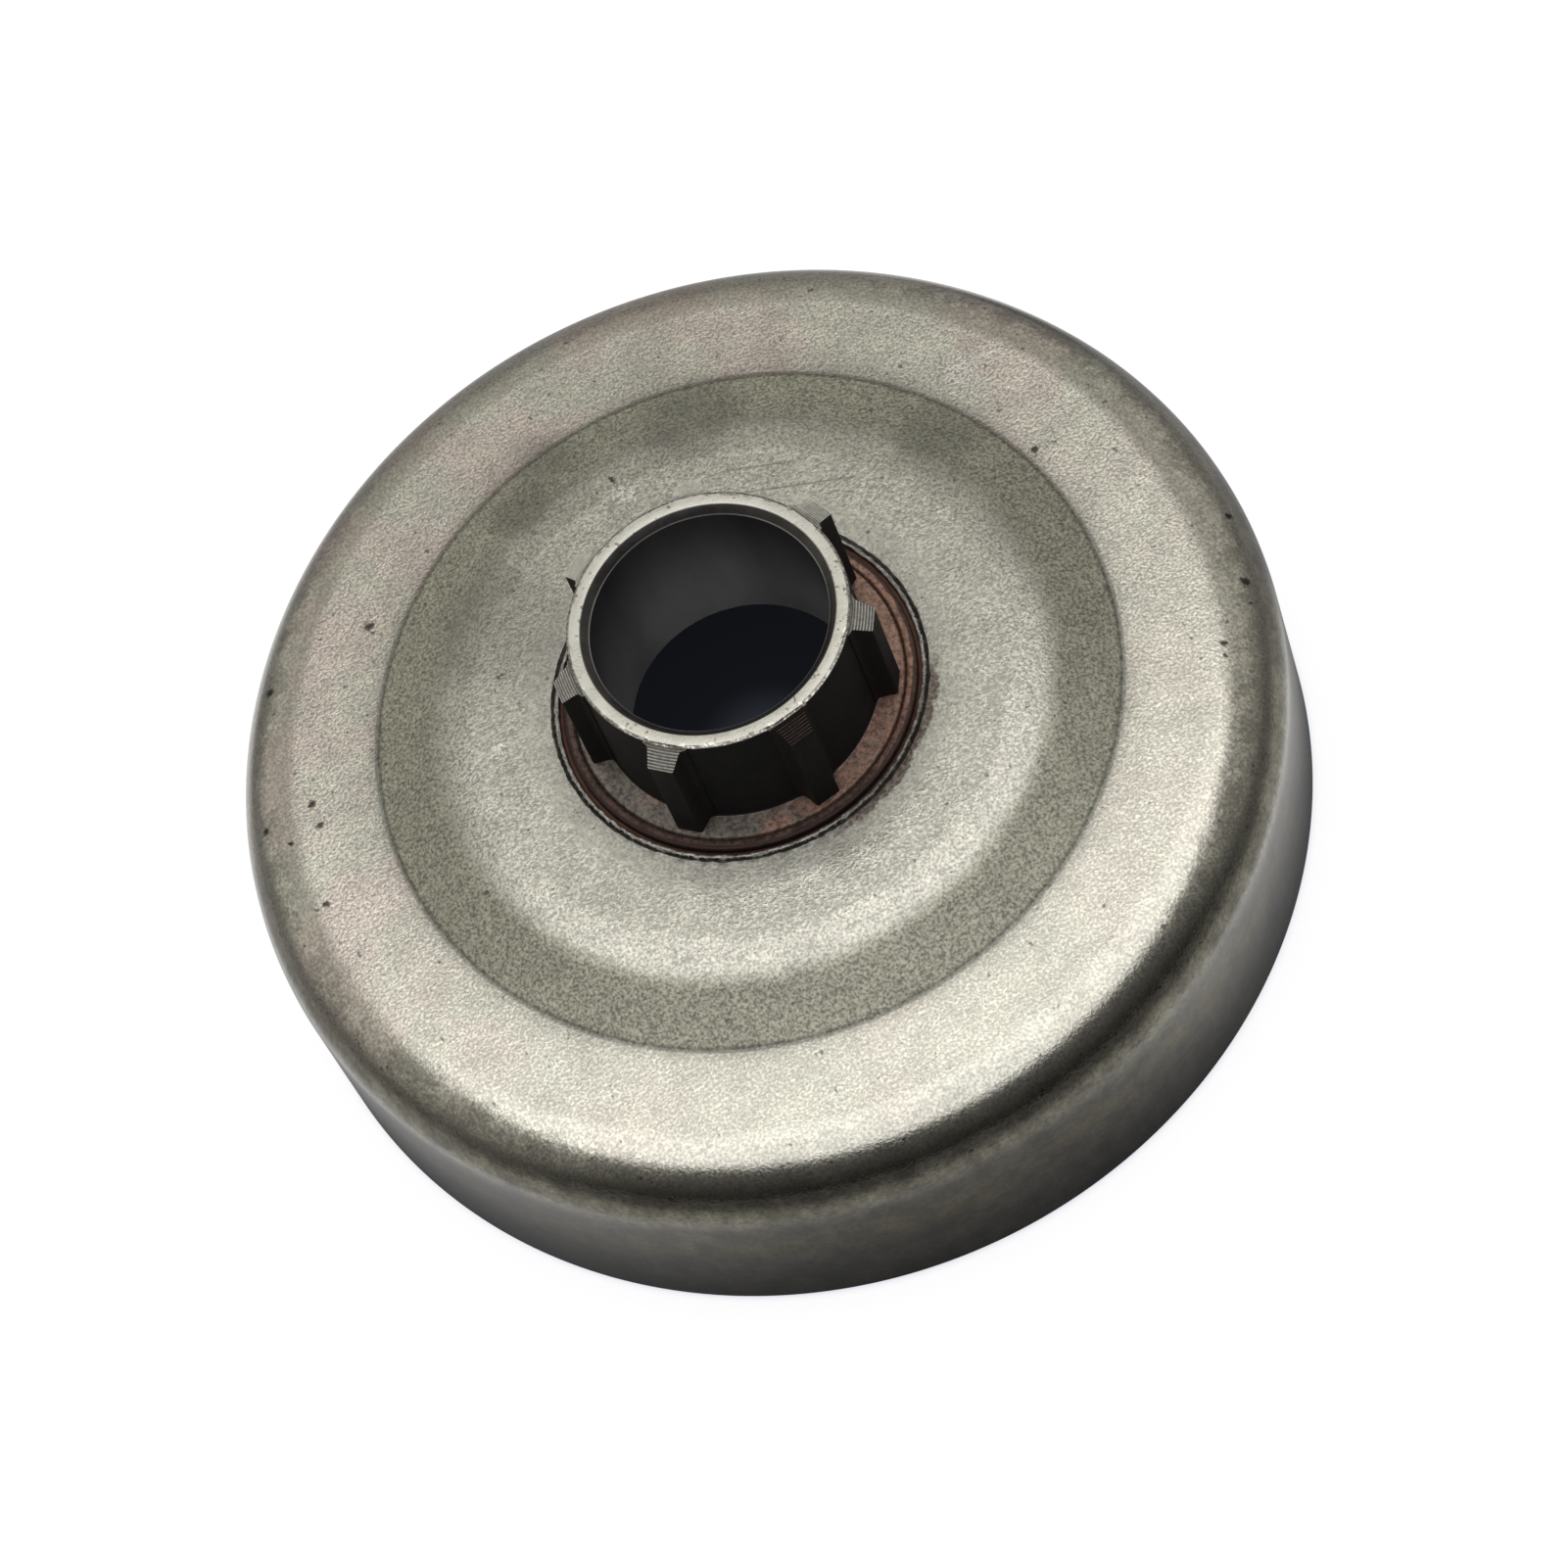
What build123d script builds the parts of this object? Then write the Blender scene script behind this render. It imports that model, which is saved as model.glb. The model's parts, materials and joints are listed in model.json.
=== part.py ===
from build123d import *
import os
from math import atan2, sqrt, tan

# Clutch drum for a chain saw: a pressed steel cup with a splined hub brazed into its centre hole.
# The cup stands on its open rim. The origin is on the axis in the rim plane, +Z towards the hub.
# All sizes are in millimetres.

# Pressed cup
drum_diameter = 72.0  # outside of the friction wall
sheet = 2.0  # thickness of the pressed sheet
ring_height = 16.9  # rim to the flat ring
shoulder_bend = 4.8  # outside bend between the wall and the flat ring
crease_diameter = 51.0  # crisp crease where the flat ring turns up into the crown
knee_diameter = 40.2  # where the slope would meet the flat crown
knee_bend = 8.0  # inside bend between the slope and the flat crown
crown_rise = 2.15  # flat crown above the flat ring
rim_edge = 0.3  # broken outer edge of the rim
rim_chamfer = 0.6  # turned lead-in at the inner edge of the rim

# Splined hub
bore_diameter = 16.0  # seat of the needle bearing
root_diameter = 19.0  # hub between the splines
tip_diameter = 21.8  # over the splines
spline_count = 7
spline_root_width = 2.3
spline_tip_width = 1.75
spline_root_fillet = 0.35
spline_length = 9.6  # flange face to the end of the hub
spline_bearing = -26.2  # direction of the first spline, in degrees
lead_drop = 0.85  # height lost at the tips by the turned lead-in
mouth_chamfer = 0.6  # bore mouth, measured across the end face
mouth_depth = 0.5  # the same chamfer, measured down the bore
flange_diameter = 24.2  # collar that seats in the cup's hole
flange_proud = 0.15  # flange face above the flat crown
foot_chamfer = 0.3  # lower end of the bore
edge_groove_diameter = 22.6  # turned line inside the flange's edge
edge_groove_width = 0.3
edge_groove_depth = 0.15

# Brazed seam
braze_gap = 0.25  # between the flange and the cup's hole
braze_sink = 0.4  # filler below the flat crown
braze_leg = 0.7  # fillet under the crown
braze_land = 0.75  # bare hub below that fillet
seam_bevel = 0.15  # broken edges on both sides of the seam

# Derived sizes
wall_radius = drum_diameter / 2
friction_radius = wall_radius - sheet
crease_radius = crease_diameter / 2
knee_radius = knee_diameter / 2
ring_under = ring_height - sheet
crown_top = ring_height + crown_rise
crown_under = crown_top - sheet
crown_slope = atan2(crown_rise, crease_radius - knee_radius)
corner_shift = sheet * tan(crown_slope / 2)  # how far the inner skin's corners move inwards
corner_chamfer = (2 - sqrt(2)) * (shoulder_bend - sheet)  # flat corner inside the shoulder, one sheet thick

bore_radius = bore_diameter / 2
root_radius = root_diameter / 2
tip_radius = tip_diameter / 2
flange_radius = flange_diameter / 2
hole_radius = flange_radius + braze_gap
flange_top = crown_top + flange_proud
hub_top = flange_top + spline_length
hub_foot = crown_under - braze_leg - braze_land


def revolved(outline):
    """Turn a closed outline in the XZ plane once about the Z axis."""
    return revolve(make_face(Plane.XZ * outline), Axis.Z)


def drum_cup():
    """Pressed cup: both skins of the sheet as one closed section, each corner with its bend."""
    corners = [
        (wall_radius - rim_edge, 0, 0),
        (wall_radius, rim_edge, 0),
        (wall_radius, ring_height, shoulder_bend),
        (crease_radius, ring_height, 0),
        (knee_radius, crown_top, knee_bend + sheet),
        (hole_radius + seam_bevel, crown_top, 0),
        (hole_radius, crown_top - seam_bevel, 0),
        (hole_radius, crown_under, 0),
        (knee_radius - corner_shift, crown_under, knee_bend),
        (crease_radius - corner_shift, ring_under, 0),
        (friction_radius - corner_chamfer, ring_under, 0),
        (friction_radius, ring_under - corner_chamfer, 0),
        (friction_radius, rim_chamfer, 0),
        (friction_radius + rim_chamfer, 0, 0),
    ]
    points = [(r, z) for r, z, bend in corners]
    bends = [bend for r, z, bend in corners]
    return revolved(FilletPolyline(*points, radius=bends, close=True))


def flange_body():
    """Collar and core of the hub, still solid, with the turned line inside the flange's edge."""
    groove_radius = edge_groove_diameter / 2
    points = [
        (0, hub_foot),
        (flange_radius, hub_foot),
        (flange_radius, flange_top - seam_bevel),
        (flange_radius - seam_bevel, flange_top),
        (groove_radius + edge_groove_width / 2, flange_top),
        (groove_radius, flange_top - edge_groove_depth),
        (groove_radius - edge_groove_width / 2, flange_top),
        (0, flange_top),
    ]
    return revolved(Polyline(*points, close=True))


def bore_cutter():
    """Bearing bore with the chamfers at its mouth and foot."""
    points = [
        (0, hub_foot),
        (bore_radius + foot_chamfer, hub_foot),
        (bore_radius, hub_foot + foot_chamfer),
        (bore_radius, hub_top - mouth_depth),
        (bore_radius + mouth_chamfer, hub_top),
        (0, hub_top),
    ]
    return revolved(Polyline(*points, close=True))


def lead_in_cutter():
    """Cone that slopes the spline ends down from the root circle."""
    slope = lead_drop / (tip_radius - root_radius)
    beyond = 2 * tip_radius - root_radius
    points = [
        (root_radius, hub_top),
        (beyond, hub_top),
        (beyond, hub_top - slope * (beyond - root_radius)),
    ]
    return revolved(Polyline(*points, close=True))


def spline_half_width(radius):
    """Half the width of one spline at a radius, on its straight flanks."""
    taper = (spline_root_width - spline_tip_width) / (tip_radius - root_radius)
    return (spline_root_width - taper * (radius - root_radius)) / 2


def spline_blank():
    """Flat blank of one spline along X, from inside the core to past the tip circle."""
    inner = bore_radius
    outer = 2 * tip_radius - root_radius
    corners = [
        (inner, -spline_half_width(inner)),
        (outer, -spline_half_width(outer)),
        (outer, spline_half_width(outer)),
        (inner, spline_half_width(inner)),
    ]
    return make_face(Polyline(*corners, close=True))


def spline_section():
    """Cross-section of the splined end: core, splines with root fillets, round tips."""
    section = Circle(root_radius)
    for index in range(spline_count):
        section += Rot(0, 0, spline_bearing + index * 360 / spline_count) * spline_blank()
    roots = [v for v in section.vertices() if Vector(v).length < (root_radius + tip_radius) / 2]
    return fillet(roots, spline_root_fillet) & Circle(tip_radius)


def spline_hub():
    """Turned hub with its milled splines and bored through."""
    splines = extrude(Pos(0, 0, flange_top) * spline_section(), spline_length)
    return splines - lead_in_cutter() + flange_body() - bore_cutter()


def braze_ring():
    """Filler between the flange and the cup's hole, with a sloped fillet under the crown."""
    points = [
        (hole_radius + braze_leg, crown_under),
        (hole_radius, crown_under),
        (hole_radius, crown_top - braze_sink),
        (flange_radius, crown_top - braze_sink),
        (flange_radius, crown_under - braze_leg),
    ]
    return revolved(Polyline(*points, close=True))


os.makedirs("parts", exist_ok=True)
export_step(drum_cup(), "parts/drum_cup.step")
export_step(spline_hub(), "parts/spline_hub.step")
export_step(braze_ring(), "parts/braze_ring.step")
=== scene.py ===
import json
from math import atan2, cos, pi, radians, sin, sqrt, tan
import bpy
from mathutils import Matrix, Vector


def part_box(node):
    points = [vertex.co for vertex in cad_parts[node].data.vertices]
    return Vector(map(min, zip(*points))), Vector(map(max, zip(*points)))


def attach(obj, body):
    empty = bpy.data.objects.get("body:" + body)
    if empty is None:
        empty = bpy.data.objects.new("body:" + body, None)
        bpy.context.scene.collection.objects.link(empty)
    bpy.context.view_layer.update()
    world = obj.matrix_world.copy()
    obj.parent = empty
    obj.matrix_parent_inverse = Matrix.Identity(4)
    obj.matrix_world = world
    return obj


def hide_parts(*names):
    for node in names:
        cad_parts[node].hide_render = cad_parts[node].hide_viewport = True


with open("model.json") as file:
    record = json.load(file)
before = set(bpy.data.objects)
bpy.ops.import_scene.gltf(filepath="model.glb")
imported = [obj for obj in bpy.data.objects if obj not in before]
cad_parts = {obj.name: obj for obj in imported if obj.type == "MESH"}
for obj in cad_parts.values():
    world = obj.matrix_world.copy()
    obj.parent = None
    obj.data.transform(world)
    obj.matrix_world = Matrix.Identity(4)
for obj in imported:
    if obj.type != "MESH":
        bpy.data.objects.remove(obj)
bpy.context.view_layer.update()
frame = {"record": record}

from types import SimpleNamespace

import bmesh
import bpy
from mathutils import Matrix, Vector

# Clutch drum: a pressed steel cup, a splined hub and the copper filler that joins them.
# Sizes are in millimetres. Pieces are modelled in millimetres and scaled to metres when finished.

MM = 0.001

# Sizes taken from the solids
cup_low, cup_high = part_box("drum_cup")
hub_low, hub_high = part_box("spline_hub")
mount_sizes = {mount["name"]: mount["dims"] for mount in frame["record"]["mounts"]}
facet_slack = 0.002  # keeps the pieces inside the solids' facets
wall_radius = min(-cup_low.x, cup_high.x, -cup_low.y, cup_high.y) / MM - facet_slack
crown_top = cup_high.z / MM
hub_foot = hub_low.z / MM
hub_top = hub_high.z / MM - facet_slack
flange_radius = hub_high.x / MM
bore_radius = mount_sizes["bearing_bore"]["r_mm"]
friction_radius = mount_sizes["friction_wall"]["r_mm"]
tip_radius = mount_sizes["spline_seat"]["r_mm"]
spline_length = mount_sizes["spline_seat"]["length_mm"]

# Pressed cup
sheet = 2.0
crown_rise = 2.15  # flat crown above the flat ring
crease_radius = 25.5  # where the flat ring turns up into the crown
crease_round = 0.15
knee_radius = 20.1  # where the slope would meet the flat crown
knee_bend = 8.0  # inside bend between the slope and the crown
shoulder_bend = 4.8  # outside bend between the wall and the ring
rim_edge = 0.3
rim_chamfer = 0.6
seam_gap = 0.25  # between the flange and the cup's hole
lip_width = 0.25  # ragged lip round the hole
seam_groove_width = 0.3  # ragged line outside that lip
seam_groove_depth = 0.16
seam_round = 0.1
seam_margin = 0.35  # plain rings kept beside the ragged line
rag_size = 0.35  # raggedness of the lip and the line
rag_depth = 0.16

# Splined hub
root_radius = 9.5
spline_count = 7
spline_root_width = 2.3
spline_tip_width = 1.75
spline_root_fillet = 0.35
spline_bearing = -26.2  # direction of the first spline, in degrees
lead_drop = 0.85  # height lost at the tips by the turned lead-in
lead_ridges = 8  # turning marks on each lead-in
ridge_depth = 0.045
tip_bevel = 0.1
mouth_chamfer = 0.6
mouth_depth = 0.5
foot_chamfer = 0.3
edge_round = 0.06
edge_groove_radius = 11.3  # turned line inside the flange's raised edge
edge_groove_width = 0.3
edge_groove_depth = 0.15
flange_round = 0.2
wave_size = 0.6  # unevenness of the flange's raised edge
wave_depth = 0.12
nick_reach = 0.2  # plain ring kept beside the nicked rim
nick_margin = 0.15  # and a second one inside it
nick_size = 0.3
nick_depth = 0.2

# Brazed seam
braze_sink = 0.4  # filler below the crown
braze_leg = 0.7  # fillet under the crown

# Derived sizes
ring_height = crown_top - crown_rise
crown_slope = atan2(crown_rise, crease_radius - knee_radius)
corner_shift = sheet * tan(crown_slope / 2)
corner_chamfer = (2 - sqrt(2)) * (shoulder_bend - sheet)
hole_radius = flange_radius + seam_gap
groove_in = hole_radius + lip_width
groove_out = groove_in + seam_groove_width
flange_top = hub_top - spline_length
wall_top = ring_height - shoulder_bend
stained_bearing = radians(spline_bearing - 360 / spline_count)  # the spline stained brown by the brazing

# Marks on the top of the cup: places in X and Y with their sizes, and the ends of fine scratches
dark_specks = [
    ((-21.3, 17.95), 0.45), ((24.9, 8.6), 0.35), ((33.5, -6.9), 0.45), ((30.3, -11.0), 0.3),
    ((-2.0, 19.2), 0.3), ((-29.5, 5.1), 0.35), ((-29.5, 6.9), 0.35), ((-29.4, 16.9), 0.4),
    ((-31.8, 4.8), 0.25), ((-31.1, -0.7), 0.3), ((-33.1, 6.9), 0.3), ((34.6, -1.6), 0.35),
    ((30.0, -11.9), 0.22),
]
dark_smudges = [
    ((-5.8, 23.9), 3.4), ((-8.5, 20.5), 3.0), ((19.5, 12.5), 4.0), ((-12.5, 12.0), 7.0), ((4.5, 21.5), 5.0),
]
pale_scuffs = [
    ((22.8, 16.8), 1.5), ((25.4, 17.2), 1.0), ((-5.8, 30.2), 0.9), ((-11.7, 30.1), 0.8),
    ((-14.1, 23.0), 0.9), ((-16.3, 3.4), 0.8), ((-18.9, 2.7), 0.7), ((-1.6, 17.9), 1.2),
]
scratches = [((4.9, 14.1), (12.9, 11.3)), ((5.3, 16.0), (9.8, 14.4))]
scratch_width = 0.12
stain_bearing = radians(-50)  # brown stain beside the seam

# Colours of the cup, as red, green, blue and alpha
bare_grey = (0.562, 0.548, 0.445, 1)
warm_grey = (0.595, 0.530, 0.445, 1)
slope_grey = (0.562, 0.550, 0.405, 1)
# The wall's colours are dark partly as painted shade, for the dark the wall mirrors
wall_grey = (0.072, 0.068, 0.053, 1)
wall_olive = (0.086, 0.076, 0.049, 1)
speck_black = (0.02, 0.018, 0.016, 1)
smudge_grey = (0.12, 0.118, 0.098, 1)
scuff_white = (0.80, 0.78, 0.70, 1)
scratch_grey = (0.16, 0.15, 0.13, 1)
pit_black = (0.05, 0.045, 0.04, 1)
stain_brown = (0.12, 0.085, 0.06, 1)
seam_black = (0.025, 0.021, 0.018, 1)
lip_dark = (0.12, 0.115, 0.10, 1)
lip_pale = (0.38, 0.365, 0.32, 1)
inside_dark = (0.22, 0.21, 0.19, 1)
inside_pale = (0.36, 0.34, 0.31, 1)

# Colours of the hub and the filler
face_dull = (0.52, 0.505, 0.425, 1)
face_bright = (0.80, 0.775, 0.655, 1)
nick_brown = (0.14, 0.125, 0.105, 1)
spot_brown = (0.14, 0.085, 0.06, 1)
# Painted shade for the chamfer in the bore's mouth
mouth_dark = (0.06, 0.057, 0.05, 1)
mouth_pale = (0.14, 0.135, 0.12, 1)
bore_lip_bright = (0.6, 0.58, 0.54, 1)
bore_dark = (0.05, 0.05, 0.051, 1)
bore_pale = (0.28, 0.282, 0.275, 1)
# The grey and the pale lead-in colours are shaded and lit copies, painted light
lead_in_grey = (0.42, 0.405, 0.345, 1)
lead_in_pale = (0.72, 0.70, 0.58, 1)
lead_in_brown = (0.044, 0.031, 0.025, 1)
oxide_black = (0.011, 0.011, 0.012, 1)
oxide_brown = (0.028, 0.026, 0.024, 1)
flange_brown = (0.34, 0.210, 0.150, 1)
flange_grey = (0.23, 0.200, 0.160, 1)
# Shaded and lit copies of the copper edge's colour, painted light
shaded_copper_edge = (0.11, 0.066, 0.048, 1)
lit_copper_edge = (0.36, 0.21, 0.145, 1)
groove_black = (0.035, 0.016, 0.011, 1)
outer_edge_black = (0.03, 0.018, 0.014, 1)
filler_dark = (0.03, 0.018, 0.013, 1)
filler_red = (0.18, 0.085, 0.055, 1)

# Tints of the floor's glow: painted shade under the drum, white round it
shade_blue = (0.85, 0.95, 1.3, 1)
white = (1, 1, 1, 1)

# Bounds between the finishes
lean = 0.2  # how far a face leans before it counts as turned that way
lead_reach = 1.2  # depth of the lead-ins and nicks below the hub's end
lead_start = 0.04  # first turning ridge outside the root circle
flange_slack = 0.02  # height of the uneven edge above the flange

# Mesh fineness
turn_steps = 360
large_bend = 1.0  # bends above this get more segments
bend_segments = 14
small_segments = 4
weld_distance = 1e-4
smooth_angle = radians(32)

# Camera, from the circles in the photograph
camera_elevation = radians(60.475)
camera_roll = radians(-24.597)
camera_distance = 395.93
camera_offset = (0.916, -2.11)
focal_length = 130.83
sensor = 36.0

# Floor and lamp, in metres
floor_size = 60.0
lamp_height = 1.0
lamp_width = 1.5
lamp_near_angle = radians(52.5)  # how high the lamp's two edges stand, seen from the drum
lamp_far_angle = radians(61.0)
lamp_radiance = 1.41
lamp_colour = (0.93, 0.93, 1.0)


# Modelling by hand

def take(piece):
    """Select one piece alone and make it the active one."""
    bpy.ops.object.select_all(action="DESELECT")
    piece.select_set(True)
    bpy.context.view_layer.objects.active = piece


def edit(piece):
    """Open one piece for editing, with nothing else selected."""
    take(piece)
    bpy.ops.object.mode_set(mode="EDIT")


def close_edit():
    """Leave the piece that is open for editing."""
    bpy.ops.object.mode_set(mode="OBJECT")


def pick(piece, kind, test):
    """Select the vertices, edges or faces of the piece in hand that meet a test."""
    bpy.ops.mesh.select_all(action="DESELECT")
    bpy.ops.mesh.select_mode(type={"verts": "VERT", "edges": "EDGE", "faces": "FACE"}[kind])
    mesh = bmesh.from_edit_mesh(piece.data)
    for element in getattr(mesh, kind):
        element.select_set(test(element))
    mesh.select_flush_mode()
    bmesh.update_edit_mesh(piece.data)


def near(point, reach=1e-3):
    """A test for vertices at one place."""
    target = Vector(point)
    return lambda vertex: (vertex.co - target).length < reach


def start_vertex(name, point):
    """A new piece of one vertex: a plane drawn together to a point."""
    bpy.ops.object.select_all(action="DESELECT")
    bpy.ops.mesh.primitive_plane_add(size=1)
    piece = bpy.context.object
    piece.name = name
    edit(piece)
    bpy.ops.mesh.select_all(action="SELECT")
    bpy.ops.mesh.merge(type="CENTER")
    bpy.ops.mesh.select_all(action="SELECT")
    bpy.ops.transform.translate(value=point)
    return piece


def turned(name, corners):
    """Turn a closed section about Z: its (radius, height, bend) corners in order, each bend rounded."""
    points = [Vector((radius, 0, height)) for radius, height, bend in corners]
    piece = start_vertex(name, points[0])
    for last, point in zip(points, points[1:]):
        bpy.ops.mesh.extrude_vertices_move(TRANSFORM_OT_translate={"value": point - last})
    first_end, last_end = near(points[0]), near(points[-1])
    pick(piece, "verts", lambda vertex: first_end(vertex) or last_end(vertex))
    bpy.ops.mesh.edge_face_add()
    for index, (radius, height, bend) in enumerate(corners):
        if bend:
            ahead = points[(index + 1) % len(points)] - points[index]
            behind = points[index] - points[index - 1]
            pick(piece, "verts", near(points[index]))
            bpy.ops.mesh.bevel(
                offset=bend * tan(behind.angle(ahead) / 2),
                segments=bend_segments if bend > large_bend else small_segments,
                affect="VERTICES",
            )
    bpy.ops.mesh.select_all(action="SELECT")
    bpy.ops.mesh.spin(steps=turn_steps, angle=2 * pi, center=(0, 0, 0), axis=(0, 0, 1))
    bpy.ops.mesh.select_all(action="SELECT")
    bpy.ops.mesh.remove_doubles(threshold=weld_distance)
    bpy.ops.mesh.normals_make_consistent(inside=False)
    close_edit()
    return piece


def apply_modifier(piece, kind, **settings):
    """Add a modifier to a piece, set it and apply it."""
    take(piece)
    modifier = piece.modifiers.new(kind.lower(), kind)
    for key, value in settings.items():
        setattr(modifier, key, value)
    bpy.ops.object.modifier_apply(modifier=modifier.name)


def roughen(piece, name, test, size, depth, **settings):
    """Shift the vertices that meet a test by a cloudy pattern, its size and depth in millimetres."""
    group = piece.vertex_groups.new(name=name)
    group.add([vertex.index for vertex in piece.data.vertices if test(vertex.co)], 1.0, "REPLACE")
    clouds = bpy.data.textures.new(name, "CLOUDS")
    clouds.noise_scale = size
    clouds.cloud_type = "COLOR"
    settings = {"texture": clouds, "vertex_group": name, "strength": depth, **settings}
    apply_modifier(piece, "DISPLACE", **settings)
    piece.vertex_groups.remove(piece.vertex_groups[name])


def finish_piece(piece, node):
    """Scale a piece to metres, smooth it and let it stand for its solid."""
    take(piece)
    piece.scale = (MM, MM, MM)
    bpy.ops.object.transform_apply(location=True, rotation=True, scale=True)
    bpy.ops.object.shade_smooth_by_angle(angle=smooth_angle)
    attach(piece, "root")
    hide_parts(node)


def give_finishes(piece, finishes):
    """Give each face of a piece the first finish whose test it meets."""
    for material, test in finishes:
        piece.data.materials.append(material)
    for face in piece.data.polygons:
        centre = face.center
        radius = centre.xy.length
        outward = face.normal.xy.dot(centre.xy) / radius
        tests = (test(radius, centre.z, outward, face.normal.z) for material, test in finishes)
        face.material_index = list(tests).index(True)


# Pieces

def pressed_cup():
    """Pressed cup: both skins of the sheet, with the lip and ragged line round the hub's hole."""
    crown_under = crown_top - sheet
    ring_under = ring_height - sheet
    cup = turned("pressed_cup", [
        (wall_radius - rim_edge, 0, edge_round),
        (wall_radius, rim_edge, edge_round),
        (wall_radius, ring_height, shoulder_bend),
        (crease_radius, ring_height, crease_round),
        (knee_radius, crown_top, knee_bend + sheet),
        (groove_out + 2 * seam_margin, crown_top, 0),
        (groove_out + seam_margin, crown_top, 0),
        (groove_out, crown_top, seam_round),
        ((groove_in + groove_out) / 2, crown_top - seam_groove_depth, 0),
        (groove_in, crown_top, seam_round),
        (hole_radius, crown_top, seam_round),
        (hole_radius, crown_under, 0),
        (knee_radius - corner_shift, crown_under, knee_bend),
        (crease_radius - corner_shift, ring_under, 0),
        (friction_radius - corner_chamfer, ring_under, edge_round),
        (friction_radius, ring_under - corner_chamfer, edge_round),
        (friction_radius, rim_chamfer, 0),
        (friction_radius + rim_chamfer, 0, 0),
    ])
    seam_out = groove_out + seam_round / 2
    seam_foot = crown_top - 2 * seam_groove_depth

    def at_seam(spot):
        return spot.xy.length < seam_out and spot.z > seam_foot

    roughen(cup, "ragged_seam", at_seam, rag_size, rag_depth, direction="RGB_TO_XYZ")
    return cup


def hub_core():
    """Turned core of the hub: bore, end face, root and the flange with its raised edge."""
    core = turned("splined_hub", [
        (bore_radius + foot_chamfer, hub_foot, 0),
        (flange_radius, hub_foot, edge_round),
        (flange_radius, flange_top, flange_round),
        (edge_groove_radius + edge_groove_width / 2, flange_top, seam_round),
        (edge_groove_radius, flange_top - edge_groove_depth, 0),
        (edge_groove_radius - edge_groove_width / 2, flange_top, edge_round),
        (root_radius, flange_top, flange_round),
        (root_radius, hub_top, edge_round),
        (root_radius - nick_reach, hub_top, 0),
        (root_radius - nick_reach - nick_margin, hub_top, 0),
        (bore_radius + mouth_chamfer, hub_top, edge_round),
        (bore_radius, hub_top - mouth_depth, edge_round),
        (bore_radius, hub_foot + foot_chamfer, 0),
    ])
    edge_foot = flange_top - 2 * edge_groove_depth

    def on_edge(spot):
        return spot.xy.length > edge_groove_radius and spot.z > edge_foot

    roughen(core, "uneven_edge", on_edge, wave_size, wave_depth, direction="Z", mid_level=0.8)
    return core


def spline_width(radius):
    """Width of one spline at a radius: straight flanks that flare into the root."""
    taper = (spline_root_width - spline_tip_width) / (tip_radius - root_radius)
    rise = max(radius - root_radius, 0)
    flare = 0
    if rise < spline_root_fillet:
        flare = spline_root_fillet - sqrt(spline_root_fillet ** 2 - (spline_root_fillet - rise) ** 2)
    return spline_root_width - taper * rise + 2 * flare


def spline_block():
    """One spline along X, from inside the core to its tip, with the ridged lead-in at its end."""
    ridge_step = (tip_radius - root_radius) / (2 * lead_ridges)
    buried_steps = 3
    rows = 2 * lead_ridges + buried_steps
    foot = root_radius - buried_steps * ridge_step
    sunk = flange_top - edge_groove_depth
    bpy.ops.object.select_all(action="DESELECT")
    bpy.ops.mesh.primitive_cube_add(size=1)
    block = bpy.context.object
    edit(block)
    bpy.ops.transform.resize(value=(tip_radius - foot, 1, hub_top - sunk))
    bpy.ops.transform.translate(value=((tip_radius + foot) / 2, 0, (hub_top + sunk) / 2))
    pick(block, "edges", lambda edge: abs(edge.verts[0].co.x - edge.verts[1].co.x) > ridge_step)
    bpy.ops.mesh.subdivide(number_cuts=rows - 1)
    for row in range(rows + 1):
        radius = foot + row * ridge_step

        def at_row(vertex):
            return abs(vertex.co.x - radius) < ridge_step / 4

        pick(block, "verts", at_row)
        bpy.ops.transform.resize(value=(1, spline_width(radius), 1), center_override=(radius, 0, 0))
        slope_drop = lead_drop * max(radius - root_radius, 0) / (tip_radius - root_radius)
        valley = ridge_depth if (row - buried_steps) % 2 else 0
        pick(block, "verts", lambda vertex: at_row(vertex) and vertex.co.z > hub_top - ridge_step)
        bpy.ops.transform.translate(value=(0, 0, -slope_drop - valley))

    def tip_corner(edge):
        low, high = (vertex.co for vertex in edge.verts)
        on_tip = min(low.x, high.x) > tip_radius - weld_distance
        return on_tip and abs(low.z - high.z) > spline_length / 2

    pick(block, "edges", tip_corner)
    bpy.ops.mesh.bevel(offset=tip_bevel, segments=2)
    close_edit()
    return block


def splined_hub():
    """Core and splines joined as one solid."""
    core = hub_core()
    block = spline_block()
    copies = []
    for index in range(spline_count):
        take(block)
        bpy.ops.object.duplicate()
        copy = bpy.context.object
        copy.rotation_euler.z = radians(spline_bearing + index * 360 / spline_count)
        bpy.ops.object.transform_apply(rotation=True)
        copies.append(copy)
    bpy.data.objects.remove(block)
    splines = copies[0]
    take(splines)
    for copy in copies:
        copy.select_set(True)
    bpy.ops.object.join()
    apply_modifier(core, "BOOLEAN", operation="UNION", object=splines, solver="EXACT")
    bpy.data.objects.remove(splines)

    def at_rim(spot):
        return spot.xy.length > root_radius - nick_reach / 2 and spot.z > hub_top - nick_reach / 2

    roughen(core, "nicked_rim", at_rim, nick_size, nick_depth, direction="Z", mid_level=1.0)
    return core


def copper_filler():
    """Filler in the seam, sunk below the crown, with its fillet underneath."""
    crown_under = crown_top - sheet
    return turned("copper_filler", [
        (hole_radius + braze_leg, crown_under, 0),
        (hole_radius, crown_under, 0),
        (hole_radius, crown_top - braze_sink, 0),
        (flange_radius, crown_top - braze_sink, 0),
        (flange_radius, crown_under - braze_leg, 0),
        (hole_radius + braze_leg / 3, crown_under - braze_leg / 3, braze_leg / 4),
    ])


# Shader nodes

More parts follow.
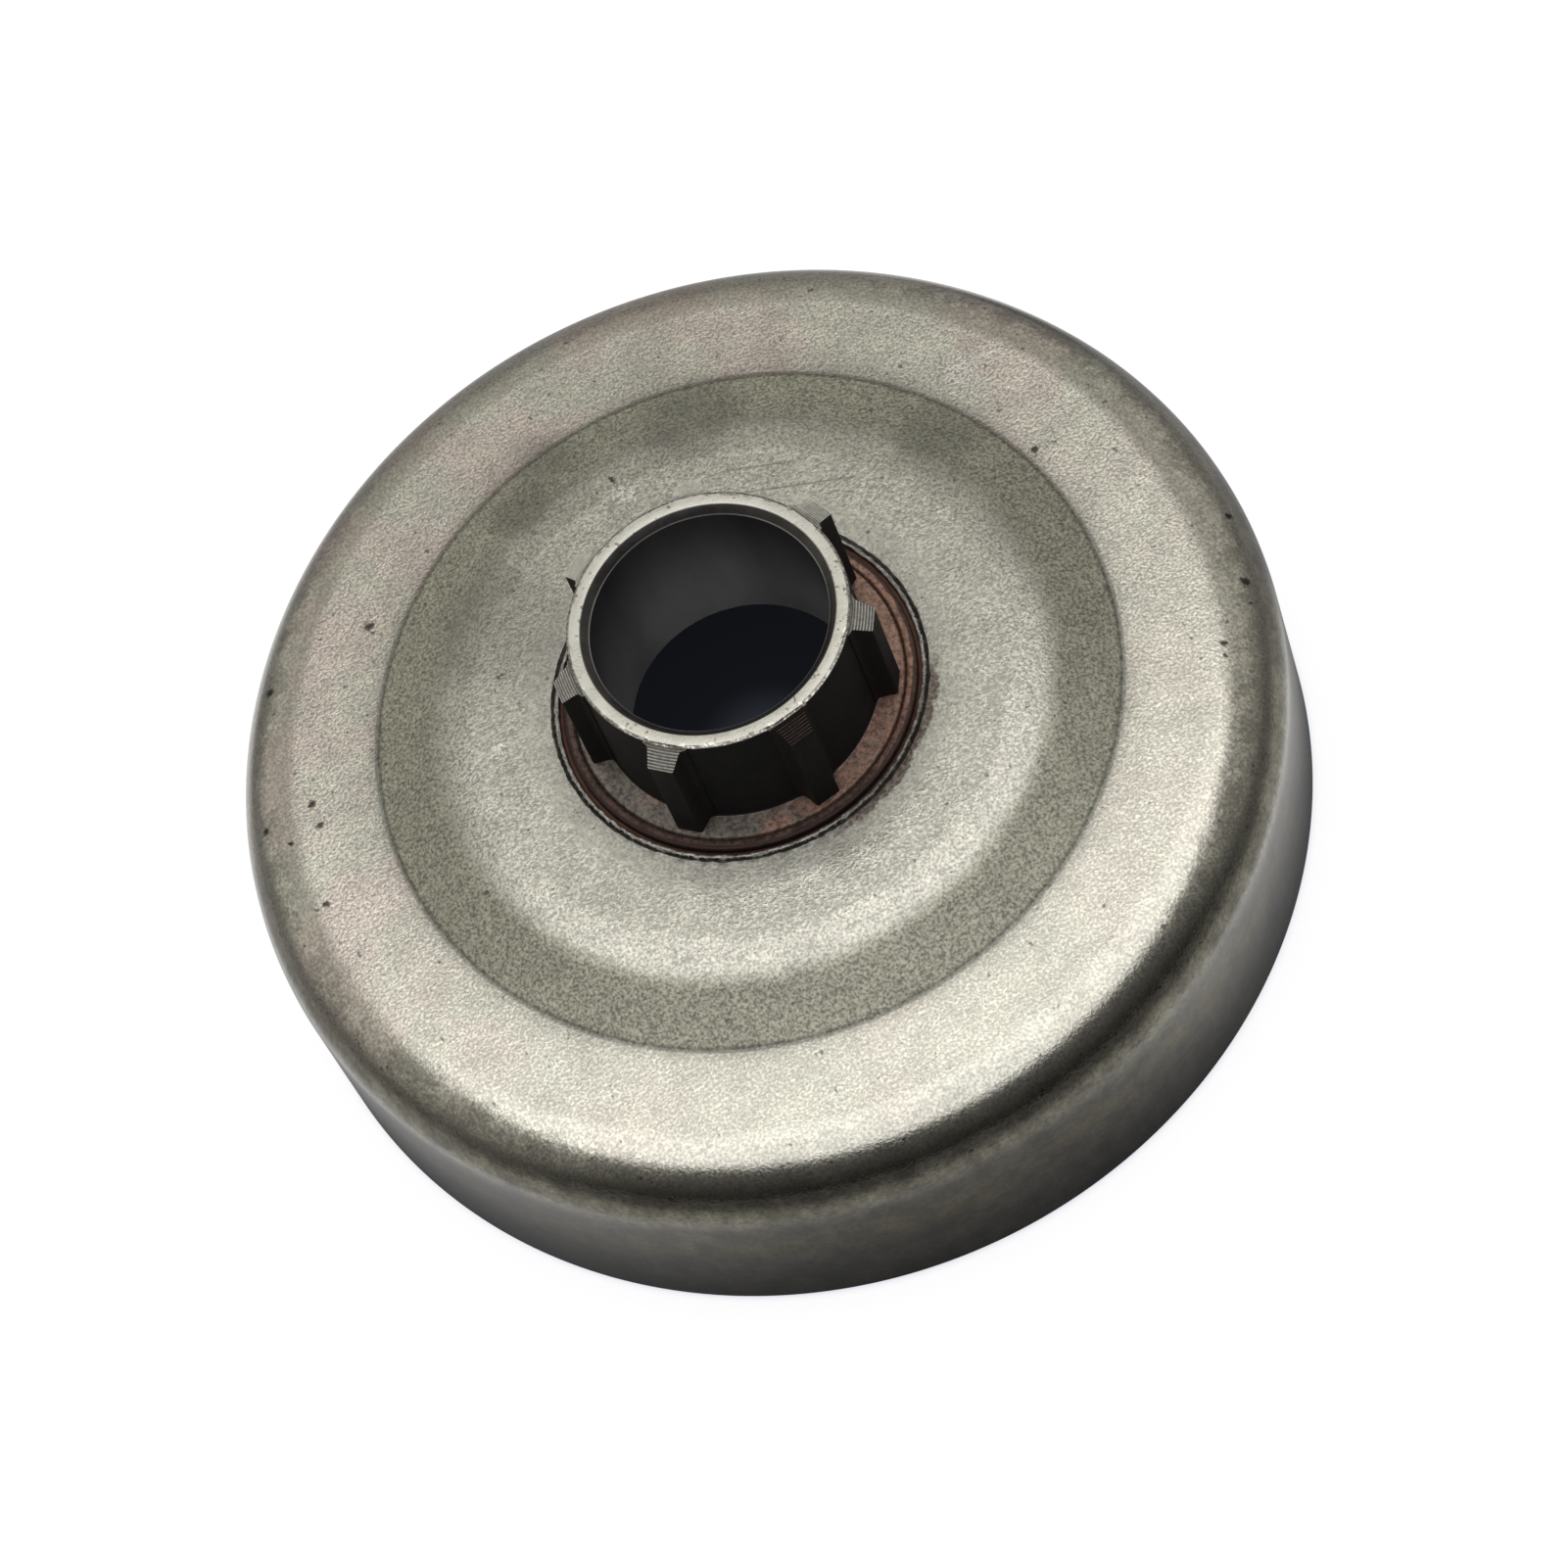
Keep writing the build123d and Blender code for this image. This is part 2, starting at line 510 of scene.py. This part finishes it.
class Shade:
    """A socket among a finish's nodes. Arithmetic on it adds Math nodes."""

    def __init__(self, nodes, socket):
        self.nodes = nodes
        self.socket = socket

    def math(self, operation, first, second=0.0):
        return self.nodes.node("ShaderNodeMath", {"operation": operation}, {0: first, 1: second})

    def __add__(self, other):
        return self.math("ADD", self, other)

    def __radd__(self, other):
        return self.math("ADD", other, self)

    def __sub__(self, other):
        return self.math("SUBTRACT", self, other)

    def __rsub__(self, other):
        return self.math("SUBTRACT", other, self)

    def __mul__(self, other):
        return self.math("MULTIPLY", self, other)

    def __rmul__(self, other):
        return self.math("MULTIPLY", other, self)

    def __pow__(self, other):
        return self.math("POWER", self, other)

    def __abs__(self):
        return self.math("ABSOLUTE", self)


def distance(across, along):
    """How far a place is from a centre, from its two offsets."""
    return (across * across + along * along) ** 0.5


class Nodes:
    """The nodes of one material or world."""

    def __init__(self, tree):
        self.tree = tree
        self.tree.nodes.clear()

    def node(self, kind, settings=None, sockets=None, output=0):
        """Add a node: its settings first, then the values or links of its sockets. Gives one output."""
        node = self.tree.nodes.new(kind)
        for key, value in (settings or {}).items():
            setattr(node, key, value)
        for key, value in (sockets or {}).items():
            if isinstance(value, Shade):
                self.tree.links.new(value.socket, node.inputs[key])
            else:
                node.inputs[key].default_value = value
        return Shade(self, node.outputs[output]) if node.outputs else None

    def rise(self, value, low, high):
        """0 below low, 1 above high, eased between."""
        return self.node(
            "ShaderNodeMapRange", {"interpolation_type": "SMOOTHSTEP"}, {0: value, 1: low, 2: high}
        )

    def band(self, value, low, high, soft):
        """1 between low and high, with soft edges."""
        return self.rise(value, low - soft, low + soft) * (1 - self.rise(value, high - soft, high + soft))

    def mix(self, share, first, second, blend="MIX"):
        """Mix two colours."""
        settings = {"data_type": "RGBA", "blend_type": blend}
        return self.node("ShaderNodeMix", settings, {0: share, 6: first, 7: second}, output=2)

    def grey(self, value):
        """A value as a grey colour."""
        return self.node("ShaderNodeCombineColor", None, {0: value, 1: value, 2: value})

    def noise(self, place, scale, detail=2.0, roughness=0.5):
        """A cloudy pattern, finer at a larger scale."""
        sockets = {"Vector": place, "Scale": scale, "Detail": detail, "Roughness": roughness}
        return self.node("ShaderNodeTexNoise", None, sockets)

    def place(self):
        """Where a point lies, in millimetres."""
        spot = self.node("ShaderNodeTexCoord", output="Object")
        return self.node("ShaderNodeVectorMath", {"operation": "SCALE"}, {0: spot, "Scale": 1 / MM})

    def axes(self, vector):
        """The x, y and z of a vector."""
        return [self.node("ShaderNodeSeparateXYZ", None, {0: vector}, output=axis) for axis in range(3)]

    def stretch(self, place, factors):
        """A place drawn out along the axes, to stretch a pattern."""
        return self.node("ShaderNodeVectorMath", {"operation": "MULTIPLY"}, {0: place, 1: factors})

    def spot(self, x, y, centre, size, wobble):
        """1 around one place on the top, fading out at the size given, with an uneven edge."""
        away = distance(x - centre[0], y - centre[1])
        return 1 - self.rise(away + wobble, size * 0.4, size)

    def scratch(self, x, y, start, end, width):
        """1 along a thin straight line between two places on the top."""
        line = Vector(end) - Vector(start)
        ahead = line.normalized()
        along = (x - start[0]) * ahead.x + (y - start[1]) * ahead.y
        aside = abs((y - start[1]) * ahead.x - (x - start[0]) * ahead.y)
        return self.band(along, 0, line.length, 0.2) * (1 - self.rise(aside, width * 0.3, width))


def new_finish(name):
    """A new material and its empty nodes."""
    material = bpy.data.materials.new(name)
    material.use_nodes = True
    return material, Nodes(material.node_tree)


def surface_output(nodes, sockets, height=None, bump_depth=0.0):
    """One Principled surface with an optional bump, its depth in millimetres."""
    if height is not None:
        bump = {"Height": height, "Strength": 1.0, "Distance": bump_depth * MM}
        sockets = {**sockets, "Normal": nodes.node("ShaderNodeBump", None, bump)}
    surface = nodes.node("ShaderNodeBsdfPrincipled", None, sockets)
    nodes.node("ShaderNodeOutputMaterial", None, {"Surface": surface})


# Finishes

def cup_patterns(nodes):
    """Where a point of the cup's outside lies, its zones, and the patterns that its finish shares."""
    place = nodes.place()
    x, y, z = nodes.axes(place)
    radius = distance(x, y)
    inside = 1 - nodes.rise(radius, crease_radius - 0.1, crease_radius + 0.1)
    return SimpleNamespace(
        place=place,
        x=x,
        y=y,
        z=z,
        radius=radius,
        inside=inside,
        knee=nodes.band(radius, knee_radius - 1.4, knee_radius + 0.5, 0.9),
        slope=inside * nodes.rise(radius, knee_radius + 0.2, knee_radius + 2),
        blast=nodes.rise(z, wall_top - 2, wall_top + 1),
        broad=nodes.noise(place, scale=0.13, detail=3.0, roughness=0.55),
        cloud=nodes.noise(place, scale=0.45, detail=4.0, roughness=0.6),
        ragged=nodes.noise(place, scale=2.6, detail=3.0, roughness=0.65),
        grain=nodes.rise(nodes.noise(place, scale=4.8, detail=3.0, roughness=0.65), 0.32, 0.68),
    )


def blasted_top(nodes, cup):
    """Colour of the grit-blasted top, duller where it was pulled up between the crease and the knee, that
    darkening partly painted shade; with a painted highlight on the knee, painted shade along the crease,
    and the crown darker towards the far right as painted shade.
    """
    farther_left = 0.3 + 0.7 * nodes.rise(cup.y - 0.4 * cup.x, -20, 20)
    patches = nodes.rise(cup.broad, 0.44, 0.60) * farther_left * (1 - cup.inside)
    steel = nodes.mix(patches, bare_grey, warm_grey)
    steel = nodes.mix(cup.slope, steel, slope_grey)

    # Painted shade: a dark line along the crease, and the ring darker just outside it, lightening over a
    # few millimetres
    crease = nodes.band(cup.radius, crease_radius - 0.22, crease_radius + 0.20, 0.12)
    painted_crease_shadow_fade = 0.2 * nodes.rise(cup.radius, crease_radius + 0.1, crease_radius + 1.1)
    ring_tone = 0.75 + painted_crease_shadow_fade + 0.15 * nodes.rise(cup.radius, crease_radius, crease_radius + 3.5)
    # Painted light and shade: a painted highlight on the knee, stronger towards the far side; the slope
    # darker partly for its duller finish and partly as painted shade, less so towards the far side; the
    # crown darker towards the far right as painted shade
    farther = nodes.rise(cup.y, 0, 18)
    far_side_painted_shade = nodes.rise(cup.y + 0.6 * cup.x, -16, 12)
    knee_highlight_and_slope_shade = (0.08 + 0.10 * farther) * cup.knee - (0.28 - 0.12 * farther) * cup.slope
    crown_tone = 0.89 - 0.06 * far_side_painted_shade + knee_highlight_and_slope_shade
    tone = (ring_tone + cup.inside * (crown_tone - ring_tone)) * (1 - 0.45 * crease)

    coarse = cup.slope + 0.6 * cup.knee
    grit = 0.72 - 0.27 * coarse + (0.56 + 0.54 * coarse) * cup.grain
    sides = nodes.rise(abs(cup.x), 8, 26)
    rubbed = sides * nodes.band(cup.radius, wall_radius - 3.4, wall_radius - 1.2, 0.9)
    worn = nodes.rise(cup.cloud + 0.6 * (cup.ragged - 0.5), 0.36, 0.62)
    tone = tone * (0.72 + 0.56 * cup.cloud) * grit * (1 + 0.6 * rubbed * (0.5 - worn))
    return nodes.mix(1.0, steel, nodes.grey(tone), "MULTIPLY")


def rolled_wall(nodes, cup):
    """Colour of the smooth, dark side wall, with drag marks, blotches and an olive band. Its dark grey is
    partly its own finish and partly painted shade for the dark it mirrors, and it is paler towards the top
    as a painted highlight.
    """
    dragged = nodes.noise(nodes.stretch(cup.place, (1, 1, 0.1)), scale=1.5, detail=3.0)
    drag = nodes.rise(dragged, 0.3, 0.7)
    blotch = nodes.rise(cup.cloud, 0.3, 0.7)
    olive_band = nodes.band(cup.z + 3 * (cup.broad - 0.5), 7.0, 9.5, 1.5)
    wall = nodes.mix(olive_band, wall_grey, wall_olive)
    # Painted highlight: the wall paler towards its top, where it turns into the shoulder
    painted_highlight_up_wall = 1 + 1.4 * nodes.rise(cup.z, wall_top - 1.1, wall_top + 1.9)
    speckle = 1 + (1.0 + 0.5 * cup.blast) * (cup.ragged - 0.5)
    mottle = (0.68 + 0.12 * drag + 0.52 * blotch) * speckle
    return nodes.mix(1.0, wall, nodes.grey(mottle * painted_highlight_up_wall), "MULTIPLY")


def wear_marks(nodes, cup, base):
    """Specks, smudges, scuffs, fine scratches and pits over a colour."""
    wobble = 0.8 * (cup.ragged - 0.5)
    glint = 0.85 * nodes.rise(cup.grain, 0.3, 0.8)
    for centre, size in dark_specks:
        speck = nodes.spot(cup.x, cup.y, centre, size, wobble)
        base = nodes.mix(0.9 * speck, base, speck_black)
    for centre, size in dark_smudges:
        smudge = nodes.spot(cup.x, cup.y, centre, size, 4 * wobble)
        base = nodes.mix(0.35 * smudge, base, smudge_grey)
    for centre, size in pale_scuffs:
        scuff = nodes.spot(cup.x, cup.y, centre, size, 3 * wobble)
        base = nodes.mix(scuff * glint, base, scuff_white)
    for start, end in scratches:
        scratch = nodes.scratch(cup.x, cup.y, start, end, scratch_width)
        base = nodes.mix(0.5 * scratch, base, scratch_grey)
    pits = nodes.rise(nodes.noise(cup.place, scale=1.7, detail=2.0), 0.70, 0.75)
    return nodes.mix(0.7 * pits, base, pit_black)


def seam_marks(nodes, cup, base):
    """Brown stain, ragged dark line and scraped lip round the hub's hole, over a colour."""
    uneven_radius = cup.radius + 0.5 * (cup.ragged - 0.5)
    side = cup.x * cos(stain_bearing) + cup.y * sin(stain_bearing)
    stained_radius = uneven_radius + 1.2 * (cup.cloud - 0.5)
    stain = 1 - nodes.rise(stained_radius, groove_out + 0.45, groove_out + 0.65)
    stain = stain * nodes.rise(side, 10.6, 12.0)
    base = nodes.mix((1 - 0.4 * cup.grain) * stain, base, stain_brown)
    line = nodes.band(uneven_radius, groove_in + 0.04, groove_out - 0.04, 0.06)
    base = nodes.mix(line, base, seam_black)
    lip = 1 - nodes.rise(uneven_radius, groove_in - 0.12, groove_in - 0.02)
    return nodes.mix(lip, base, nodes.mix(cup.grain, lip_dark, lip_pale))


def grit_steel():
    """Outside of the cup: grit-blasted top, smooth and dark down the wall, with its marks."""
    material, nodes = new_finish("grit_blasted_steel")
    cup = cup_patterns(nodes)
    top = nodes.rise(cup.z, wall_top + 2.1, wall_top + 4.4)
    base = nodes.mix(top, rolled_wall(nodes, cup), blasted_top(nodes, cup))
    base = wear_marks(nodes, cup, base)
    base = seam_marks(nodes, cup, base)

    scorched = 1 - nodes.rise(cup.radius, hole_radius + 0.5, hole_radius + 3.5)
    metallic = 1 - top * (0.18 + 0.12 * cup.knee + 0.40 * cup.slope + 0.25 * scorched)
    polish = 0.24 - 0.09 * cup.blast + 0.05 * cup.cloud
    roughness = polish + 0.05 * cup.knee + 0.24 * cup.slope + 0.25 * scorched
    shoulder_in = wall_radius - shoulder_bend
    shoulder = nodes.rise(cup.radius, shoulder_in, shoulder_in + 1.2)
    height = (cup.grain + 2 * cup.ragged) * (0.25 + 0.75 * cup.blast) * (1 - 0.4 * shoulder)
    sockets = {"Base Color": base, "Metallic": metallic, "Roughness": roughness}
    surface_output(nodes, sockets, height, bump_depth=0.008)
    return material


def turned_inside():
    """Inside of the cup: turned friction wall and plain pressed underside."""
    material, nodes = new_finish("turned_inside")
    place = nodes.place()
    lines = nodes.noise(nodes.stretch(place, (0, 0, 1)), scale=5.0, detail=2.0)
    cloud = nodes.noise(place, scale=0.3, detail=3.0)
    base = nodes.mix(cloud, inside_dark, inside_pale)
    roughness = 0.3 + 0.2 * lines
    sockets = {"Base Color": base, "Metallic": 1.0, "Roughness": roughness}
    surface_output(nodes, sockets, lines, bump_depth=0.01)
    return material


def end_face_steel():
    """Bright turned end of the hub, with nicks and a few brown spots; darker towards the far side and dark
    in the bore's mouth, both painted shade.
    """
    material, nodes = new_finish("bright_end_face")
    place = nodes.place()
    x, y, _ = nodes.axes(place)
    radius = distance(x, y)
    cloud = nodes.noise(place, scale=0.9, detail=3.0)
    fine = nodes.noise(place, scale=4.0, detail=3.0)
    base = nodes.mix(cloud, face_dull, face_bright)
    # Painted shade: the end face darker towards the far side
    far_side_painted_shade = 0.18 * nodes.rise(y, -root_radius, root_radius / 2)
    base = nodes.mix(1.0, base, nodes.grey(1.12 - far_side_painted_shade), "MULTIPLY")
    nick = nodes.rise(radius - 0.6 * (fine - 0.5), root_radius - 0.14, root_radius - 0.06)
    base = nodes.mix(0.8 * nick, base, nick_brown)
    spots = nodes.rise(nodes.noise(place, scale=2.2, detail=3.0), 0.62, 0.70)
    base = nodes.mix(0.7 * spots, base, spot_brown)
    # Painted shade: the chamfer in the bore's mouth dark
    mouth = 1 - nodes.rise(radius, bore_radius + mouth_chamfer - 0.08, bore_radius + mouth_chamfer - 0.02)
    base = nodes.mix(mouth, base, nodes.mix(cloud, mouth_dark, mouth_pale))
    lip = 1 - nodes.rise(radius, bore_radius + 0.04, bore_radius + 0.09)
    base = nodes.mix(lip, base, bore_lip_bright)
    sockets = {"Base Color": base, "Metallic": 0.8, "Roughness": 0.20 + 0.15 * cloud}
    surface_output(nodes, sockets, fine, bump_depth=0.006)
    return material


def lead_in_steel():
    """Turned lead-ins of the splines: pale ones, and one stained dark brown. Painted light makes them paler
    towards the far side, and painted shade darkens the valleys between the turning ridges.
    """
    material, nodes = new_finish("turned_lead_in")
    place = nodes.place()
    x, y, _ = nodes.axes(place)
    side = x * cos(stained_bearing) + y * sin(stained_bearing)
    # Here the mask marks the lead-ins clear of the brown stain
    clean_and_lit_side = 1 - nodes.rise(side, 0.82 * root_radius, 0.96 * root_radius)
    fine = nodes.noise(place, scale=4.0, detail=3.0)
    # Painted light: the lead-ins paler towards the far side
    pale = nodes.mix(nodes.rise(y, 1, 8), lead_in_grey, lead_in_pale)
    base = nodes.mix(clean_and_lit_side, lead_in_brown, pale)
    radius = distance(x, y)
    # Painted shade: darker in the valleys between the turning ridges, paler on their crests
    turns = (radius - root_radius) * (2 * pi * lead_ridges / (tip_radius - root_radius))
    painted_ridge_shading = nodes.node("ShaderNodeMath", {"operation": "COSINE"}, {0: turns})
    base = nodes.mix(1.0, base, nodes.grey((0.4 + 1.2 * fine) * (0.75 + 0.35 * painted_ridge_shading)), "MULTIPLY")
    sockets = {"Base Color": base, "Metallic": 0.35, "Roughness": 0.5, "Specular IOR Level": 0.15}
    surface_output(nodes, sockets, fine, bump_depth=0.006)
    return material


def oxide_steel():
    """Black oxide on the root and the spline flanks, a little browner in patches."""
    material, nodes = new_finish("black_oxide")
    place = nodes.place()
    cloud = nodes.noise(place, scale=0.8, detail=4.0, roughness=0.6)
    fine = nodes.noise(place, scale=5.0, detail=3.0)
    base = nodes.mix(cloud, oxide_black, oxide_brown)
    roughness = 0.55 + 0.2 * fine
    sockets = {"Base Color": base, "Metallic": 0.0, "Roughness": roughness, "Specular IOR Level": 0.15}
    surface_output(nodes, sockets, fine, bump_depth=0.008)
    return material


def bore_steel():
    """Dark ground wall of the bore, paler towards its foot, with painted light as a paler strip on its far
    side.
    """
    material, nodes = new_finish("bore_wall")
    place = nodes.place()
    _, y, z = nodes.axes(place)
    cloud = nodes.noise(nodes.stretch(place, (1, 1, 0.3)), scale=0.7, detail=3.0)
    down = 1 - nodes.rise(z, flange_top - 2, hub_top)
    base = nodes.mix(down, bore_dark, bore_pale)
    # Painted light: a paler strip on the far side of the bore, where the lamp shines in
    painted_lit_strip = 1.0 + 0.7 * nodes.rise(y, 6.0, 8.2)
    base = nodes.mix(1.0, base, nodes.grey(painted_lit_strip * (0.9 + 0.4 * cloud)), "MULTIPLY")
    sockets = {"Base Color": base, "Metallic": 0.2, "Roughness": 0.5, "Specular IOR Level": 0.2}
    surface_output(nodes, sockets)
    return material


def flange_steel():
    """Flange stained brown by the brazing, with a copper-red raised edge that is painted light on its right
    side and painted shade elsewhere, and dark along its outer rim.
    """
    material, nodes = new_finish("stained_flange")
    place = nodes.place()
    x, y, _ = nodes.axes(place)
    radius = distance(x, y)
    cloud = nodes.noise(place, scale=0.7, detail=4.0, roughness=0.6)
    fine = nodes.noise(place, scale=3.2, detail=4.0, roughness=0.65)
    speckle = 0.45 + 1.1 * nodes.rise(fine, 0.3, 0.7)
    grey_share = nodes.rise(cloud - 0.02 * x, 0.42, 0.62)
    brown = nodes.mix(grey_share, flange_brown, flange_grey)
    brown = nodes.mix(1.0, brown, nodes.grey(speckle), "MULTIPLY")
    edge = nodes.rise(radius, edge_groove_radius, edge_groove_radius + 0.15)
    # Painted light and shade: the copper edge lit on the right side, shaded elsewhere
    clean_and_lit_side = nodes.rise(x + 6 * (cloud - 0.5), 4, 12)
    copper = nodes.mix(clean_and_lit_side, shaded_copper_edge, lit_copper_edge)
    copper = nodes.mix(1.0, copper, nodes.grey(speckle), "MULTIPLY")
    base = nodes.mix(edge, brown, copper)
    groove = nodes.band(radius, edge_groove_radius - 0.07, edge_groove_radius + 0.06, 0.05)
    base = nodes.mix(0.85 * groove, base, groove_black)
    # Black along the flange's outer rim, beside the gap to the cup
    dark_outer_edge = nodes.rise(radius + 0.3 * (cloud - 0.5), flange_radius - 0.38, flange_radius - 0.24)
    base = nodes.mix(0.85 * dark_outer_edge, base, outer_edge_black)
    sockets = {"Base Color": base, "Metallic": 0.6, "Roughness": 0.42 + 0.2 * fine}
    surface_output(nodes, sockets, fine, bump_depth=0.02)
    return material


def filler_copper():
    """Dull, dark copper filler."""
    material, nodes = new_finish("filler_copper")
    place = nodes.place()
    cloud = nodes.noise(place, scale=1.2, detail=4.0)
    base = nodes.mix(cloud, filler_dark, filler_red)
    sockets = {"Base Color": base, "Metallic": 0.9, "Roughness": 0.4 + 0.2 * cloud}
    surface_output(nodes, sockets, cloud, bump_depth=0.05)
    return material


# Stage

def add_camera():
    """Camera at the photograph's viewing angle."""
    back = Vector((0, -cos(camera_elevation), sin(camera_elevation)))
    level = Vector((1, 0, 0))
    upright = back.cross(level)
    right = level * cos(camera_roll) + upright * sin(camera_roll)
    up = upright * cos(camera_roll) - level * sin(camera_roll)
    eye = back * camera_distance - right * camera_offset[0] - up * camera_offset[1]
    bpy.ops.object.camera_add()
    camera = bpy.context.object
    camera.data.sensor_width = sensor
    camera.data.lens = focal_length
    camera.data.clip_start = 0.01
    axes = Matrix((right, up, back)).transposed().to_4x4()
    camera.matrix_world = Matrix.Translation(eye * MM) @ axes
    bpy.context.scene.camera = camera


def pale_floor():
    """Finish of the floor: white to the camera, with a painted shadow under the drum and a faint painted
    pool of light below the bore; mirrored by the steel only near the drum, as a painted reflection that is
    brighter at the near sides and darker to the right and far side.
    """
    material, nodes = new_finish("pale_floor")
    x, y, _ = nodes.axes(nodes.place())
    radius = distance(x, y)
    # Painted shadow: the floor dark under the drum, with a faint painted pool of light below the bore
    outside_painted_shadow = nodes.rise(radius, friction_radius, wall_radius + 0.5)
    # Painted reflection: how bright the steel sees the floor, dimmed close to the wall as painted shade,
    # brighter at the sides on the near half and darker to the right and far side
    close = 1 - nodes.rise(radius, wall_radius + 4, wall_radius + 14)
    nearer = 1 - nodes.rise(y, -15, 5)
    beside = nodes.rise(abs(x), 8, 28) * close * nearer * (0.7 + 0.9 * nodes.rise(x, 0, 20))
    right = nodes.rise(x, 30, 42)
    wide = nodes.rise(abs(x), 44, 56)
    shaded = (0.75 * right + (0.6 - 0.65 * right) * wide) * (1 - nearer) + 0.75 * nodes.rise(y, 30, 60)
    outer = nodes.rise(distance(0.67 * x, y), 45, 80)
    clear = nodes.rise(radius, wall_radius - 1, wall_radius + 9) * (1 - outer)
    clear = clear * (1 - 0.25 * nearer) * (1 + beside - shaded)
    painted_light_through_bore = 1 - nodes.rise(distance(x, y - 6.0), 1.0, 5.5)
    seen = nodes.node("ShaderNodeLightPath", output="Is Camera Ray")
    mirrored = nodes.node("ShaderNodeLightPath", output="Is Glossy Ray")
    through = nodes.node("ShaderNodeLightPath", output="Is Transmission Ray")
    glow = seen * (0.007 + 0.025 * painted_light_through_bore + outside_painted_shadow) + (mirrored + through) * clear
    tint = nodes.mix(outside_painted_shadow, shade_blue, white)
    surface_output(nodes, {
        "Base Color": nodes.grey(0.02 + 0.33 * outside_painted_shadow),
        "Roughness": 1.0,
        "Specular IOR Level": 0.0,
        "Emission Color": nodes.mix(1.0, nodes.grey(glow), tint, "MULTIPLY"),
        "Emission Strength": 0.85,
    })
    return material


def add_floor():
    """Pale floor that keeps the drum's shadow, with a painted shadow under the drum."""
    bpy.ops.mesh.primitive_plane_add(size=floor_size)
    floor = bpy.context.object
    floor.name = "floor"
    floor.data.materials.append(pale_floor())


def add_softbox():
    """Broad round lamp overhead, its far edge where the flat ring mirrors it."""
    near_edge = -lamp_height / tan(lamp_near_angle)
    far_edge = lamp_height / tan(lamp_far_angle)
    depth = far_edge - near_edge
    bpy.ops.object.light_add(type="AREA", location=(0, (near_edge + far_edge) / 2, lamp_height))
    lamp = bpy.context.object
    lamp.name = "softbox"
    lamp.data.shape = "ELLIPSE"
    lamp.data.size = lamp_width
    lamp.data.size_y = depth
    lamp.data.energy = lamp_radiance * pi * (pi / 4 * lamp_width * depth)
    lamp.data.color = lamp_colour


def set_world():
    """Dim surroundings, paler towards the lamp and behind the drum."""
    world = bpy.data.worlds.new("surroundings")
    world.use_nodes = True
    bpy.context.scene.world = world
    nodes = Nodes(world.node_tree)
    direction = nodes.node("ShaderNodeTexCoord", output="Generated")
    aside, away, up = nodes.axes(direction)
    sides = nodes.rise(abs(aside), 0.15, 0.5) * nodes.rise(away, 0, 0.4)
    left = (1 - nodes.rise(aside, -0.5, -0.1)) * nodes.rise(away, 0, 0.4)
    middle = 1 - nodes.rise(abs(aside), 0.1, 0.4)
    behind = middle * nodes.rise(away, 0.2, 0.5) * nodes.rise(up, 0.25, 0.55)
    bright = 0.10 + 0.07 * nodes.rise(up, 0, 0.3) + 0.14 * up + 0.08 * sides + 0.07 * left
    level = 0.03 + bright * nodes.rise(away + 0.5 * abs(aside), -0.27, 0.35) + 0.10 * behind
    warm = nodes.node("ShaderNodeCombineColor", None, {0: level, 1: 0.985 * level, 2: 0.955 * level})
    glow = nodes.node("ShaderNodeBackground", None, {"Color": warm, "Strength": 1.0})
    nodes.node("ShaderNodeOutputWorld", None, {"Surface": glow})


# Where the finishes go: tests on a face's middle and on how far the face leans outwards and upwards

def inside_cup(radius, height, outward, upward):
    return outward < -lean or upward < -lean


def at_hub_end(radius, height, outward, upward):
    return upward > 2 * lean and height > hub_top - lead_reach


def on_lead_in(radius, height, outward, upward):
    return at_hub_end(radius, height, outward, upward) and radius > root_radius + lead_start


def in_bore(radius, height, outward, upward):
    return radius < (bore_radius + root_radius) / 2


def on_flange(radius, height, outward, upward):
    return height < flange_top + flange_slack


def elsewhere(radius, height, outward, upward):
    return True


def main():
    """Model, finish and stage the drum."""
    cup = pressed_cup()
    give_finishes(cup, [(turned_inside(), inside_cup), (grit_steel(), elsewhere)])
    finish_piece(cup, "drum_cup")

    hub = splined_hub()
    give_finishes(hub, [
        (lead_in_steel(), on_lead_in),
        (end_face_steel(), at_hub_end),
        (bore_steel(), in_bore),
        (flange_steel(), on_flange),
        (oxide_steel(), elsewhere),
    ])
    finish_piece(hub, "spline_hub")

    filler = copper_filler()
    give_finishes(filler, [(filler_copper(), elsewhere)])
    finish_piece(filler, "braze_ring")

    add_camera()
    add_floor()
    add_softbox()
    set_world()
    bpy.context.scene.view_settings.view_transform = "Standard"


main()
